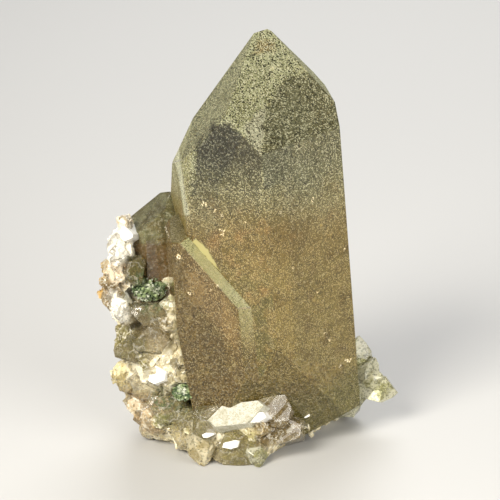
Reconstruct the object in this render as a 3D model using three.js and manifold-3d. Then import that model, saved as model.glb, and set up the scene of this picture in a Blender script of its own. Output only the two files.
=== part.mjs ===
// A smoky quartz crystal on a crust of smaller, paler crystals, with green chlorite in two pockets.
// Millimetres, +Z up. The origin is where the main crystal's long axis meets the flat underside.
// Azimuths are degrees seen from above: 0 faces the viewer (-Y), 90 faces right (+X), -90 faces left.
// A polar angle is measured from a crystal's long axis: 0 is the axis itself, 90 is square to it.
import * as THREE from "three";
import { ConvexGeometry } from "three/addons/geometries/ConvexGeometry.js";
import { mergeVertices } from "three/addons/utils/BufferGeometryUtils.js";
import Module from "manifold-3d";

const wasm = await Module();
wasm.setup();
const { Manifold, Mesh: SolidMesh } = wasm;

const pointPolar = 51.8; // polar angle of the six faces that close any quartz crystal
const sidePolar = 90;
const downPolar = 180;

// The main crystal leans a little to the left and towards the viewer.
const axisLean = { left: 3, forward: 4 };
const axisTwist = -5.6;

// Each face of a big crystal: azimuth, polar angle and distance from the foot of the axis.
const undercut = [15.5, 106, 13];
const footBreak = [50, 147, 5.2];
const mainFaces = {
  frontLeft: [-15 + axisTwist, 89.3, 18.6],
  frontRight: [45 + axisTwist, 88, 18.6],
  right: [105 + axisTwist, 88.4, 16.2],
  backRight: [165 + axisTwist, 88.5, 10.6],
  backLeft: [-135 + axisTwist, 88.5, 11.5],
  left: [-78, 89.3, 15.7],
  pointFrontRight: [45 + axisTwist, pointPolar, 51.4],
  pointLeft: [-75 + axisTwist, pointPolar, 48.1],
  pointBack: [165 + axisTwist, pointPolar, 49.2],
  cornerRight: [105 + axisTwist, pointPolar, 52],
  cornerBack: [-135 + axisTwist, 66.7, 28.3],
  steepLeft: [-90, 64, 37.3],
  steepRight: [100, 78, 27.9],
  ribbon: [-50, 84.5, 23.5],
  undercut,
  footBreak,
  foot: [0, downPolar, 4],
};

// The lower crystal grew nearly parallel, two millimetres proud of the main one's front left face.
const lowerFaces = {
  frontLeft: [-15 + axisTwist, 89.3, 20.7],
  pointFrontRight: [45 + axisTwist, pointPolar, 30.7],
  shelf: [-35, 12, 48.1],
  steepFront: [29, 87, 17.45],
  right: [105 + axisTwist, sidePolar, 9],
  left: [-75 + axisTwist, sidePolar, 17.7],
  leftUndercut: [-75 + axisTwist, 96, 14.75],
  pointLeft: [-75 + axisTwist, pointPolar, 41.6],
  backLeft: [-135 + axisTwist, sidePolar, 4],
  back: [165 + axisTwist, sidePolar, -6],
  undercut,
  footBreak,
  foot: [0, downPolar, 4],
};

// Small crystals: where the foot is, how wide and long, which way the point tilts, and the turn of the faces.
// The one at the side ends in slanting faces of its own.
const sideTop = [[-75, 36, 21.6], [60, 40, 23.4], [0, 62, 15.1]];
const smallCrystals = {
  side: { foot: [-20.4, -4.6, 17], radius: 5.4, top: sideTop, toward: -60, tilt: 2, turn: 12 },
  footTip: { foot: [-13, -17, 6.4], radius: 2.3, length: 8.6, toward: 12, tilt: 138, turn: 10 },
  footTipRight: { foot: [-3, -18, 4.6], radius: 2.1, length: 7, toward: 15, tilt: 130, turn: 30 },
  rightTall: { foot: [14.2, -1, 2], radius: 3.2, length: 16, toward: 78, tilt: 12, turn: 10 },
  rightMiddle: { foot: [14, -2, 4], radius: 3, length: 12, toward: 75, tilt: 34, turn: 25 },
  rightFront: { foot: [12.5, -4, 4], radius: 2.8, length: 8.5, toward: 50, tilt: 42, turn: 35 },
  rightTip: { foot: [14, -3, 9.5], radius: 2.5, length: 11.2, toward: 80, tilt: 102, turn: 0 },
  rightSmallTip: { foot: [15, -3, 9.5], radius: 1.7, length: 7.6, toward: 70, tilt: 82, turn: 20 },
  rightLow: { foot: [10.5, -3, 5], radius: 3, length: 8.5, toward: 60, tilt: 74, turn: 15 },
  backStub: { foot: [-9, 7, 0], radius: 4.4, length: 15, toward: -160, tilt: 18, turn: 20 },
  backLeft: { foot: [-15, 3, 2], radius: 3.6, length: 17, toward: -120, tilt: 24, turn: 50 },
  backSmall: { foot: [4, 8, 0], radius: 3.4, length: 11, toward: 170, tilt: 26, turn: 0 },
};

const taper = 1; // degrees by which a small crystal narrows upwards
const shorterPoint = 0.94; // every other face of a point stands further out
const crystalUneven = 0.12;

// Broken lumps of pale crust: centre, half sizes and the turn that makes each one different.
const crustLumps = [
  { at: [-18.6, -4, 27.4], size: [9.4, 9.6, 10.4], turn: 64 },
  { at: [-17.4, -5, 14.5], size: [9.6, 11.4, 13.6], turn: 190 },
  { at: [-7, -9, 5], size: [13, 13, 8.4], turn: 12 },
  { at: [5, 2, 3], size: [10, 10, 6.4], turn: 100 },
  { at: [-6, 5, 5], size: [14, 8, 8], turn: 240 },
  { at: [8, 4, 4], size: [8, 8, 7], turn: 310 },
  { at: [-26.5, -7.6, 41.4], size: [1.6, 2.8, 3.1], turn: 75 },
  { at: [-26.9, -7.8, 36.6], size: [3.4, 4.2, 4.4], turn: 20 },
  { at: [-28, -7.2, 32], size: [3, 4.2, 3.6], turn: 260 },
  { at: [-27.1, -6.4, 28.2], size: [4.6, 5.4, 5], turn: 200 },
  { at: [-26.8, -9.8, 27.2], size: [3, 3.2, 3.6], turn: 145 },
  { at: [-24.4, -6, 18.6], size: [4.6, 6, 5], turn: 15 },
  { at: [-24.6, -6.5, 11.8], size: [4.6, 6, 4.4], turn: 95 },
  { at: [-22.4, -8.6, 6.6], size: [4.4, 6, 4.6], turn: 140 },
  { at: [-18.4, -10.4, 4.6], size: [5.6, 7, 5.4], turn: 185 },
  { at: [-12.6, -13, 4], size: [6, 7, 5.4], turn: 320 },
  { at: [-4.6, -15.4, 3.6], size: [7.4, 7.6, 5.6], turn: 30 },
  { at: [1, -12, 4.8], size: [6.6, 6.8, 5.4], turn: 125 },
  { at: [7.6, -7.6, 5.6], size: [4.6, 6, 4.6], turn: 170 },
];
const lumpFaces = 12;
const lumpReach = 0.86; // the mean distance of a lump's faces, as a share of its half size
const lumpUneven = 0.14;

// Blocks with one large flat face each: its centre, where it faces, its half sizes and its turn.
const blockDepth = 9;
const blockFlare = 87; // polar angle of a block's sides
const blockReach = 0.86;
const blockUneven = 0.2;
const crustBlocks = [
  { at: [-26.1, -10.6, 41.2], facing: [-16, 62], size: [1.3, 1.5], turn: 10 },
  { at: [-24.2, -11.6, 34.4], facing: [4, 78], size: [2.1, 2.5], turn: 20 },
  { at: [-26.8, -11.8, 26.6], facing: [-20, 76], size: [2.2, 2.6], turn: 70 },
  { at: [-21.8, -13.6, 26.2], facing: [0, 74], size: [3.4, 2.6], turn: 5 },
  { at: [-21.4, -15, 22], facing: [-6, 82], size: [3.6, 3], turn: 50 },
  { at: [-25.6, -12.4, 19.2], facing: [-24, 80], size: [3.4, 3], turn: 25 },
  { at: [-20.6, -16.4, 15.8], facing: [-14, 61], size: [2.2, 1.7], turn: 15 },
  { at: [-26.2, -10.4, 12.4], facing: [-36, 72], size: [3.2, 2.6], turn: 80 },
  { at: [-22.8, -13.6, 12.2], facing: [-14, 58], size: [3.4, 3], turn: 35 },
  { at: [-21.4, -14.4, 6.2], facing: [-28, 78], size: [4.4, 3.2], turn: 60 },
  { at: [-18.6, -17, 9.4], facing: [2, 60], size: [3.6, 3.2], turn: 0 },
  { at: [-15.2, -18.6, 5.8], facing: [-12, 76], size: [3.4, 3.6], turn: 45 },
  { at: [-10.8, -20.6, 7.6], facing: [12, 80], size: [2.8, 3.8], turn: 20 },
  { at: [-5.8, -21.4, 10], facing: [-16, 52], size: [5.2, 2.8], turn: 55 },
  { at: [0.6, -19.8, 6], facing: [16, 74], size: [5.4, 4.2], turn: 30 },
  { at: [1.4, -19.4, 10.6], facing: [14, 62], size: [3.4, 3.4], turn: 65 },
  { at: [-5.2, -22, 3], facing: [0, 86], size: [5.4, 3.2], turn: 15 },
];

// Hollows in the crust: the chlorite in each one, and the mouth that opens it to the viewer.
const pockets = {
  chlorite_left_pocket: {
    filling: { at: [-22, -9.2, 30], size: [3.7, 3.2, 2.7], turn: 40 },
    mouth: { at: [-22.2, -12.6, 30.2], size: [3.9, 4.6, 3], turn: 75 },
  },
  chlorite_lower_pocket: {
    filling: { at: [-15.8, -16.4, 12.2], size: [2.3, 2.4, 1.6], turn: 160 },
    mouth: { at: [-15.8, -19, 12.4], size: [2.5, 3, 1.8], turn: 20 },
  },
};
const pocketGap = 0.3;

// The block that cuts the specimen off flat.
const floorBlock = { width: 200, depth: 60 };

const toRadians = THREE.MathUtils.degToRad;

function direction(azimuth, polar) {
  const a = toRadians(azimuth);
  const p = toRadians(polar);
  return new THREE.Vector3(Math.sin(a) * Math.sin(p), -Math.cos(a) * Math.sin(p), Math.cos(p));
}

// The half space behind a face.
function behind([azimuth, polar, distance]) {
  return new THREE.Plane(direction(azimuth, polar), -distance);
}

// The point where three planes meet, or null where two of them are parallel.
function meetingPoint(a, b, c) {
  const cross = new THREE.Vector3().crossVectors(b.normal, c.normal);
  const det = a.normal.dot(cross);
  if (Math.abs(det) < 1e-9) return null;
  return cross
    .multiplyScalar(-a.constant)
    .addScaledVector(new THREE.Vector3().crossVectors(c.normal, a.normal), -b.constant)
    .addScaledVector(new THREE.Vector3().crossVectors(a.normal, b.normal), -c.constant)
    .divideScalar(det);
}

// The corners of the solid that lies behind all of the planes.
function cornersOf(planes) {
  const corners = [];
  for (let i = 0; i < planes.length; i++) {
    for (let j = i + 1; j < planes.length; j++) {
      for (let k = j + 1; k < planes.length; k++) {
        const point = meetingPoint(planes[i], planes[j], planes[k]);
        if (point && planes.every((plane) => plane.distanceToPoint(point) < 1e-6)) corners.push(point);
      }
    }
  }
  return corners;
}

function solidOf(geometry) {
  const bare = geometry.clone();
  bare.deleteAttribute("normal");
  const merged = mergeVertices(bare, 1e-4);
  return new Manifold(
    new SolidMesh({
      numProp: 3,
      vertProperties: new Float32Array(merged.attributes.position.array),
      triVerts: new Uint32Array(merged.index.array),
    }),
  );
}

function convexSolid(faces, matrix) {
  return solidOf(new ConvexGeometry(cornersOf(faces.map(behind))).applyMatrix4(matrix));
}

// A big crystal stands with the foot of its axis at the origin.
const axisMatrix = new THREE.Matrix4()
  .makeRotationY(toRadians(-axisLean.left))
  .multiply(new THREE.Matrix4().makeRotationX(toRadians(axisLean.forward)));

// The shares by which the faces of one shape differ from each other: no two turns give the same ones.
function unevenness(index, turn, step) {
  return Math.sin(step * index + turn);
}

// A small crystal is a six-sided prism with a three-faced point whose corners are cut.
function smallCrystal({ foot, radius, length, top, toward, tilt, turn }) {
  const faces = [[0, downPolar, 0]];
  for (let side = 0; side < 6; side++) {
    const azimuth = turn + side * 60;
    const uneven = 1 + crystalUneven * unevenness(side, turn, 2.3);
    faces.push([azimuth, sidePolar - taper, radius * uneven]);
    const shorter = side % 2 ? shorterPoint : 1;
    if (!top) faces.push([azimuth, pointPolar, length * Math.cos(toRadians(pointPolar)) / shorter]);
  }
  if (top) faces.push(...top);
  const tiltAxis = direction(toward + 90, sidePolar);
  const matrix = new THREE.Matrix4()
    .makeTranslation(...foot)
    .multiply(new THREE.Matrix4().makeRotationAxis(tiltAxis, toRadians(tilt)));
  return convexSolid(faces, matrix);
}

// A block of crust whose front is one flat, uneven face and whose sides flare out behind it.
function flatBlock({ at, facing, size, turn }) {
  const faces = [[0, 0, 0], [0, downPolar, blockDepth]];
  const sides = 6;
  for (let side = 0; side < sides; side++) {
    const uneven = blockReach + blockUneven * unevenness(side, turn, 3.7);
    faces.push([turn + side * 360 / sides, blockFlare, uneven]);
  }
  const [azimuth, polar] = facing;
  const facingTurn = new THREE.Quaternion().setFromUnitVectors(direction(0, 0), direction(azimuth, polar));
  const matrix = new THREE.Matrix4()
    .makeTranslation(...at)
    .multiply(new THREE.Matrix4().makeRotationFromQuaternion(facingTurn))
    .multiply(new THREE.Matrix4().makeScale(...size, 1));
  return convexSolid(faces, matrix);
}

// An uneven lump with flat broken faces, its normals spread evenly over a ball.
function brokenLump({ at, size, turn }, grow = 0) {
  const faces = [];
  const goldenTurn = 137.508;
  for (let i = 0; i < lumpFaces; i++) {
    const polar = THREE.MathUtils.radToDeg(Math.acos(1 - (2 * i + 1) / lumpFaces));
    const uneven = lumpReach + lumpUneven * unevenness(i, turn, 5.1);
    faces.push([turn + i * goldenTurn, polar, uneven]);
  }
  const matrix = new THREE.Matrix4()
    .makeTranslation(...at)
    .multiply(new THREE.Matrix4().makeScale(...size.map((half) => half + grow)));
  return convexSolid(faces, matrix);
}

function quartzCluster() {
  let solid = convexSolid(Object.values(mainFaces), axisMatrix);
  solid = solid.add(convexSolid(Object.values(lowerFaces), axisMatrix));
  for (const crystal of Object.values(smallCrystals)) solid = solid.add(smallCrystal(crystal));
  for (const lump of crustLumps) solid = solid.add(brokenLump(lump));
  for (const block of crustBlocks) solid = solid.add(flatBlock(block));
  for (const { filling, mouth } of Object.values(pockets)) {
    solid = solid.subtract(brokenLump(filling, pocketGap));
    solid = solid.subtract(brokenLump(mouth));
  }
  return solid.subtract(belowFloor());
}

// Everything under the flat cut.
function belowFloor() {
  const block = new THREE.BoxGeometry(floorBlock.width, floorBlock.width, floorBlock.depth);
  block.deleteAttribute("uv");
  return solidOf(block.translate(0, 0, -floorBlock.depth / 2));
}

const quartz = new THREE.MeshStandardMaterial({ color: 0x8c8260, roughness: 0.2, metalness: 0 });
const chlorite = new THREE.MeshStandardMaterial({ color: 0x3f6b45, roughness: 0.9, metalness: 0 });

const group = new THREE.Group();

function addNode(name, solid, material) {
  const { numProp, vertProperties, triVerts } = solid.getMesh();
  const geometry = new THREE.BufferGeometry();
  geometry.setAttribute("position", new THREE.BufferAttribute(new Float32Array(vertProperties), numProp));
  geometry.setIndex(new THREE.BufferAttribute(new Uint32Array(triVerts), 1));
  geometry.computeVertexNormals();
  const mesh = new THREE.Mesh(geometry, material);
  mesh.name = name;
  group.add(mesh);
}

addNode("quartz_cluster", quartzCluster(), quartz);
for (const [name, { filling }] of Object.entries(pockets)) addNode(name, brokenLump(filling), chlorite);

export default group;
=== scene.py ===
# Smoky quartz crystal on its crust of small pale crystals, with green chlorite in the hollows.
import math
import random

import bmesh
import bpy
import numpy as np
from mathutils import Matrix, Vector, noise


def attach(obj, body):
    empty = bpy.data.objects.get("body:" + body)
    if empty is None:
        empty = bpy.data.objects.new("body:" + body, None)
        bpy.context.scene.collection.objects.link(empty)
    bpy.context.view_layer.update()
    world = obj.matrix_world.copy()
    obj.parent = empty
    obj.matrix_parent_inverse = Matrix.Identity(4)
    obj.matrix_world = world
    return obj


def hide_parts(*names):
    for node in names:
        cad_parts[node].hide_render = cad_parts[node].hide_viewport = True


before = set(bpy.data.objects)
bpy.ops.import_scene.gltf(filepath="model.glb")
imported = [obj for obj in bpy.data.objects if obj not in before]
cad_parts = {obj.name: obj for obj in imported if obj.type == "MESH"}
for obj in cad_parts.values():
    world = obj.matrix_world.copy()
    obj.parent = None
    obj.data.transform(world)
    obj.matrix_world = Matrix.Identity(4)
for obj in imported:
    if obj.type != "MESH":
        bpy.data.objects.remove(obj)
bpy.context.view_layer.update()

mm = 0.001
print("frame loaded")


# Camera, floor and light

view = {
    "aim": (-3.35, -7.0, 36.8),  # middle of the picture, mm
    "away": 450.0,  # mm
    "elevation": 20.0,
    "width": 92.5,  # mm that the picture covers at the aim
    "sensor": 36.0,
    "clipStart": 0.01,  # m
}


def addCamera(settings):
    data = bpy.data.cameras.new("camera")
    data.sensor_width = settings["sensor"]
    data.lens = settings["away"] / settings["width"] * settings["sensor"]
    data.clip_start = settings["clipStart"]
    camera = bpy.data.objects.new("camera", data)
    tilt = math.radians(settings["elevation"])
    back = Vector((0, -math.cos(tilt), math.sin(tilt)))
    camera.location = (Vector(settings["aim"]) + back * settings["away"]) * mm
    camera.rotation_euler = (math.radians(90) - tilt, 0, 0)
    bpy.context.collection.objects.link(camera)
    bpy.context.scene.camera = camera


floor = {"half": 3.0, "below": 0.02 * mm, "colour": (0.52, 0.515, 0.50, 1), "roughness": 0.55}


def addFloor(settings):
    bm = bmesh.new()
    bmesh.ops.create_grid(bm, x_segments=1, y_segments=1, size=settings["half"])
    bmesh.ops.translate(bm, verts=bm.verts, vec=(0, 0, -settings["below"]))
    obj = newObject("floor", bm)
    material = bpy.data.materials.new("paleFloor")
    material.use_nodes = True
    shader = material.node_tree.nodes["Principled BSDF"]
    shader.inputs["Base Color"].default_value = settings["colour"]
    shader.inputs["Roughness"].default_value = settings["roughness"]
    obj.data.materials.append(material)


lamps = {  # places in mm, sizes in m
    "key": {"at": (-230, -330, 330), "size": 0.22, "power": 3.6, "colour": (1.0, 0.955, 0.87)},
    "fill": {"at": (330, -330, 160), "size": 0.4, "power": 2.6, "colour": (1.0, 0.98, 0.94)},
    "back": {"at": (60, 420, 360), "size": 0.4, "power": 2.0, "colour": (1.0, 1.0, 1.0)},
}
lampAim = (0, 0, 35)  # mm
world = {"colour": (0.98, 0.985, 1, 1), "strength": 0.2}


def addLamps(settings):
    for name, lamp in settings.items():
        data = bpy.data.lights.new(name, "AREA")
        data.size = lamp["size"]
        data.energy = lamp["power"]
        data.color = lamp["colour"]
        obj = bpy.data.objects.new(name, data)
        place = Vector(lamp["at"]) * mm
        obj.location = place
        aim = Vector(lampAim) * mm - place
        obj.rotation_euler = aim.to_track_quat("-Z", "Y").to_euler()
        bpy.context.collection.objects.link(obj)


def addWorld(settings):
    studio = bpy.data.worlds.new("studio")
    studio.use_nodes = True
    background = studio.node_tree.nodes["Background"]
    background.inputs["Color"].default_value = settings["colour"]
    background.inputs["Strength"].default_value = settings["strength"]
    bpy.context.scene.world = studio


def newObject(name, bm):
    mesh = bpy.data.meshes.new(name)
    bm.to_mesh(mesh)
    bm.free()
    obj = bpy.data.objects.new(name, mesh)
    bpy.context.collection.objects.link(obj)
    return obj


addCamera(view)
addFloor(floor)
addLamps(lamps)
addWorld(world)
bpy.context.scene.view_settings.view_transform = "Standard"
bpy.context.scene.cycles.max_bounces = 16
bpy.context.scene.cycles.transmission_bounces = 14
print("camera, floor and lamps placed")


# Shader helpers

# A socket of the finish being made, so that shader maths reads as plain expressions.
class Wire:
    def __init__(self, finish, socket):
        self.finish = finish
        self.socket = socket

    def maths(self, operation, first, second):
        return self.finish.add("Math", {"operation": operation}, {0: first, 1: second})

    def __add__(self, other):
        return self.maths("ADD", self, other)

    def __radd__(self, other):
        return self.maths("ADD", other, self)

    def __sub__(self, other):
        return self.maths("SUBTRACT", self, other)

    def __rsub__(self, other):
        return self.maths("SUBTRACT", other, self)

    def __mul__(self, other):
        return self.maths("MULTIPLY", self, other)

    def __rmul__(self, other):
        return self.maths("MULTIPLY", other, self)

    def __abs__(self):
        return self.maths("ABSOLUTE", self, 0)

    def least(self, other):
        return self.maths("MINIMUM", self, other)

    def most(self, other):
        return self.maths("MAXIMUM", self, other)


quartzIor = 1.544
nearFace = (0.3, 0.2)  # mm from the plane of a flat face: off the face, and on it
alongFace = (0.99, 0.995)  # cosine between the surface's normal there and the face's, likewise


class Finish:
    def __init__(self, name):
        self.material = bpy.data.materials.new(name)
        self.material.use_nodes = True
        self.tree = self.material.node_tree
        self.shader = self.tree.nodes["Principled BSDF"]
        self.end = self.tree.nodes["Material Output"]
        self.place = self.add("TexCoord", {}, {}, "Object")
        self.fields = {}  # values over the surface, which the ranges of a layer name
        self.masks = {}  # areas that a layer names, 1 inside and 0 outside

    # Any node: its settings first, then the values or links of its sockets.
    def add(self, kind, settings, sockets, output=0):
        node = self.tree.nodes.new("ShaderNode" + kind)
        for name, value in settings.items():
            setattr(node, name, value)
        for name, value in sockets.items():
            self.feed(node.inputs[name], value)
        return Wire(self, node.outputs[output])

    def feed(self, socket, value):
        if isinstance(value, Wire):
            self.tree.links.new(value.socket, socket)
        else:
            socket.default_value = value

    def set(self, values):
        for name, value in values.items():
            self.feed(self.shader.inputs[name], value)

    # Clouds of the given size in mm
    def noise(self, size, detail):
        sockets = {"Vector": self.place, "Scale": 1 / (size * mm), "Detail": detail}
        return self.add("TexNoise", {}, sockets, "Fac")

    # A value from 0 to 1 for each grain of the given size in mm
    def grains(self, size):
        cells = self.add("TexVoronoi", {}, {"Vector": self.place, "Scale": 1 / (size * mm)}, "Color")
        return self.add("SeparateColor", {}, {0: cells}, 0)

    # 0 below the low value, 1 above the high one, smooth between; falls where low is above high
    def step(self, value, low, high):
        sockets = {"Value": value, "From Min": low, "From Max": high}
        return self.add("MapRange", {"interpolation_type": "SMOOTHSTEP"}, sockets)

    # Two colours, or links to colours, mixed; a Mix node takes colours at 6 and 7 and gives one at 2
    def mix(self, first, second, factor):
        first, second = (colour(c) if isinstance(c, tuple) else c for c in (first, second))
        return self.add("Mix", {"data_type": "RGBA"}, {0: factor, 6: first, 7: second}, 2)

    def axis(self, letter):
        return self.add("SeparateXYZ", {}, {0: self.place}, letter) * (1 / mm)

    # A coordinate in mm that shifts to and fro with clouds of the given size
    def wavering(self, letter, size, reach):
        return self.axis(letter) + (self.noise(size, 3) - 0.5) * reach

    def dot(self, first, second):
        return self.add("VectorMath", {"operation": "DOT_PRODUCT"}, {0: first, 1: second}, "Value")

    # Distance in mm from a place given in mm
    def away(self, place):
        middle = tuple(c * mm for c in place)
        sockets = {0: self.place, 1: middle}
        return self.add("VectorMath", {"operation": "DISTANCE"}, sockets, "Value") * (1 / mm)

    # How far under a flat face a point lies, in mm
    def under(self, normal, distance):
        return distance - self.dot(self.place, normal) * (1 / mm)

    # 1 on one flat face and 0 off it; the face is a normal and a distance in mm
    def face(self, normal, distance):
        level = self.dot(self.add("NewGeometry", {}, {}, "True Normal"), normal)
        return self.step(abs(self.under(normal, distance)), *nearFace) * self.step(level, *alongFace)

    # 1 inside a convex outline of (x, z) corners in mm, given anticlockwise, and 0 outside
    def patch(self, x, z, corners, soft):
        inside = None
        for (x0, z0), (x1, z1) in zip(corners, corners[1:] + corners[:1]):
            length = math.hypot(x1 - x0, z1 - z0)
            edge = (x - x0) * ((z0 - z1) / length) + (z - z0) * ((x1 - x0) / length)
            inside = inside.least(edge) if inside else edge
        return self.step(inside, -soft, soft)

    # Thin lines along one level of a pattern of clouds
    def lines(self, size, level, width):
        return self.step(abs(self.noise(size, 2) - level), *width)

    # The patterns that a look's layers name: clouds by size in mm and detail, grains by size in mm
    def addPatterns(self, look):
        for name, values in look.get("clouds", {}).items():
            self.fields[name] = self.noise(*values)
        for name, size in look.get("grains", {}).items():
            self.fields[name] = self.grains(size)

    # 1 where a layer lies: where its fields reach their ranges, on its masks and face, in its outline
    def area(self, layer):
        inside = 1
        for name, limits in layer.get("ranges", {}).items():
            inside = inside * self.step(self.fields[name], *limits)
        for name in layer.get("masks", ()):
            inside = inside * self.masks[name]
        if "face" in layer:
            inside = inside * self.face(*layer["face"])
        if "outline" in layer:
            outline = outlines[layer["outline"]]
            inside = inside * self.patch(self.fields["x"], self.fields["z"], outline, layer["soft"])
        return inside

    # Lays colours over a body one after another, each as strongly as its share says
    def paint(self, body, layers):
        for layer in layers:
            body = self.mix(body, layer["colour"], self.area(layer) * layer.get("share", 1))
        return body

    # Depth in mm
    def bump(self, height, strength, depth):
        sockets = {"Height": height, "Strength": strength, "Distance": depth * mm}
        self.set({"Normal": self.add("Bump", {}, sockets, "Normal")})

    # A second shader over the first one where the mask is 1
    def overlay(self, mask, values):
        second = self.add("BsdfPrincipled", {}, values)
        first = Wire(self, self.shader.outputs[0])
        self.feed(self.end.inputs["Surface"], self.add("MixShader", {}, {0: mask, 1: first, 2: second}))


def colour(rgb):
    return (*rgb, 1)


# Crystal shapes

pointPolar = 51.8  # the angle of the six faces that close any quartz crystal
goldenAngle = 137.508  # spreads any number of faces evenly round an axis
axisTwist = -5.6
planeSlack = 1e-7  # m off a cutting plane that counts as on it
mergeGap = 1e-6  # m between corners that become one
lean = Matrix.Rotation(math.radians(-3), 4, "Y") @ Matrix.Rotation(math.radians(4), 4, "X")


def direction(azimuth, polar):
    a = math.radians(azimuth)
    p = math.radians(polar)
    return Vector((math.sin(a) * math.sin(p), -math.cos(a) * math.sin(p), math.cos(p)))


# Cuts away what lies beyond a plane and closes the cut.
def cutAway(bm, point, normal):
    everything = list(bm.verts) + list(bm.edges) + list(bm.faces)
    cut = bmesh.ops.bisect_plane(
        bm, geom=everything, plane_co=point, plane_no=normal, clear_outer=True, dist=planeSlack
    )
    rim = [part for part in cut["geom_cut"] if isinstance(part, bmesh.types.BMEdge)]
    if rim:
        bmesh.ops.holes_fill(bm, edges=rim)


# A convex crystal: a block cut by one plane after another, each an azimuth, a polar angle and a distance.
def cutCrystal(faces, matrix, edge=0.0, block=400 * mm, unit=mm):
    bm = bmesh.new()
    bmesh.ops.create_cube(bm, size=block)
    for azimuth, polar, distance in faces:
        normal = direction(azimuth, polar)
        cutAway(bm, normal * distance * unit, normal)
    bmesh.ops.remove_doubles(bm, verts=bm.verts, dist=mergeGap)
    bmesh.ops.transform(bm, matrix=matrix, verts=bm.verts)
    if edge:
        bmesh.ops.bevel(
            bm, geom=list(bm.edges), offset=edge * mm, affect="EDGES", segments=2, profile=0.5,
            material=-1, clamp_overlap=True
        )
    bmesh.ops.recalc_face_normals(bm, faces=bm.faces)
    return bm


# Turns upright crystals to face the way that azimuth and polar angle say.
def facing(azimuth, polar):
    return Vector((0, 0, 1)).rotation_difference(direction(azimuth, polar)).to_matrix().to_4x4()


# A value that differs from one index to the next: its middle, its spread and the step of its sine.
def uneven(values, index, turn):
    middle, spread, step = values
    return middle + spread * math.sin(step * index + turn)


def addPiece(name, bm, finish, node="quartz_cluster"):
    obj = newObject(name, bm)
    obj.data.materials.append(finish.material)
    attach(obj, "root")
    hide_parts(node)
    return obj


# Puts the result of a piece's modifiers in its mesh.
def settle(obj):
    graph = bpy.context.evaluated_depsgraph_get()
    mesh = bpy.data.meshes.new_from_object(obj.evaluated_get(graph))
    obj.modifiers.clear()
    old = obj.data
    obj.data = mesh
    bpy.data.meshes.remove(old)


def discard(obj):
    mesh = obj.data
    bpy.data.objects.remove(obj)
    bpy.data.meshes.remove(mesh)


def combine(obj, other, operation):
    join = obj.modifiers.new("join", "BOOLEAN")
    join.operation = operation
    join.solver = "EXACT"
    join.object = other
    settle(obj)
    discard(other)


# Cuts a piece off flat where it rests.
def flattenFoot(obj):
    bm = bmesh.new()
    bm.from_mesh(obj.data)
    cutAway(bm, (0, 0, 0), (0, 0, -1))
    bm.to_mesh(obj.data)
    bm.free()


# Several shapes in one mesh.
def gather(shapes):
    whole = bmesh.new()
    for shape in shapes:
        mesh = bpy.data.meshes.new("part")
        shape.to_mesh(mesh)
        shape.free()
        whole.from_mesh(mesh)
        bpy.data.meshes.remove(mesh)
    return whole


# Many copies of one small mesh in one mesh, each with its own matrix.
def joinedCopies(template, matrices):
    template.verts.ensure_lookup_table()
    points = np.array([v.co[:] for v in template.verts])
    shape = [[v.index for v in face.verts] for face in template.faces]
    places = []
    faces = []
    for n, matrix in enumerate(matrices):
        places.append(points @ np.array(matrix.to_3x3()).T + np.array(matrix.translation))
        faces += [[index + n * len(points) for index in face] for face in shape]
    mesh = bpy.data.meshes.new("copies")
    mesh.from_pydata(np.concatenate(places).tolist(), [], faces)
    bm = bmesh.new()
    bm.from_mesh(mesh)
    bpy.data.meshes.remove(mesh)
    template.free()
    return bm


def anyTurn(draw):
    axis = direction(draw.uniform(0, 360), math.degrees(math.acos(draw.uniform(-1, 1))))
    return Matrix.Rotation(draw.uniform(0, 2 * math.pi), 4, axis)


def sizeMatrix(x, y, z):
    return Matrix.Diagonal((x * mm, y * mm, z * mm, 1))


# The main crystal and the lower one grown on it; a face is an azimuth, a polar angle and a distance in mm

bevels = {"main": 0.14, "lower": 0.12}  # mm
undercut = (15.5, 106, 13)
footBreak = (50, 147, 5.2)
mainFaces = {
    "frontLeft": (-15 + axisTwist, 89.3, 18.6),
    "frontRight": (45 + axisTwist, 88, 18.6),
    "right": (105 + axisTwist, 88.4, 16.2),
    "backRight": (165 + axisTwist, 88.5, 10.6),
    "backLeft": (-135 + axisTwist, 88.5, 11.5),
    "left": (-78, 89.3, 15.7),
    "pointFrontRight": (45 + axisTwist, pointPolar, 51.4),
    "pointLeft": (-75 + axisTwist, pointPolar, 48.1),
    "pointBack": (165 + axisTwist, pointPolar, 49.2),
    "cornerRight": (105 + axisTwist, pointPolar, 52),
    "cornerBack": (-135 + axisTwist, 66.7, 28.3),
    "steepLeft": (-90, 64, 37.3),
    "steepRight": (100, 78, 27.9),
    "ribbon": (-50, 84.5, 23.5),
    "undercut": undercut,
    "footBreak": footBreak,
    "foot": (0, 180, 4),
}
lowerFaces = {
    "frontLeft": (-15 + axisTwist, 89.3, 20.7),
    "pointFrontRight": (45 + axisTwist, pointPolar, 30.7),
    "shelf": (-35, 12, 48.1),
    "steepFront": (29, 87, 17.45),
    "right": (105 + axisTwist, 90, 9),
    "left": (-75 + axisTwist, 90, 17.7),
    "leftUndercut": (-75 + axisTwist, 96, 14.75),
    "pointLeft": (-75 + axisTwist, pointPolar, 41.6),
    "backLeft": (-135 + axisTwist, 90, 4),
    "back": (165 + axisTwist, 90, -6),
    "undercut": undercut,
    "footBreak": footBreak,
    "foot": (0, 180, 4),
}

dullSides = ("left", "steepLeft", "right", "steepRight", "cornerRight")  # faces without a bright reflection, whose colour is also painted darker as shade


# A face of the leaning crystals as the finish and the flakes need it: its normal and its distance in mm.
def leanedFace(face):
    azimuth, polar, distance = face
    return tuple(lean.to_3x3() @ direction(azimuth, polar)), distance


mainPlanes = {name: leanedFace(face) for name, face in mainFaces.items()}
lowerPlanes = {name: leanedFace(face) for name, face in lowerFaces.items()}

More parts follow.
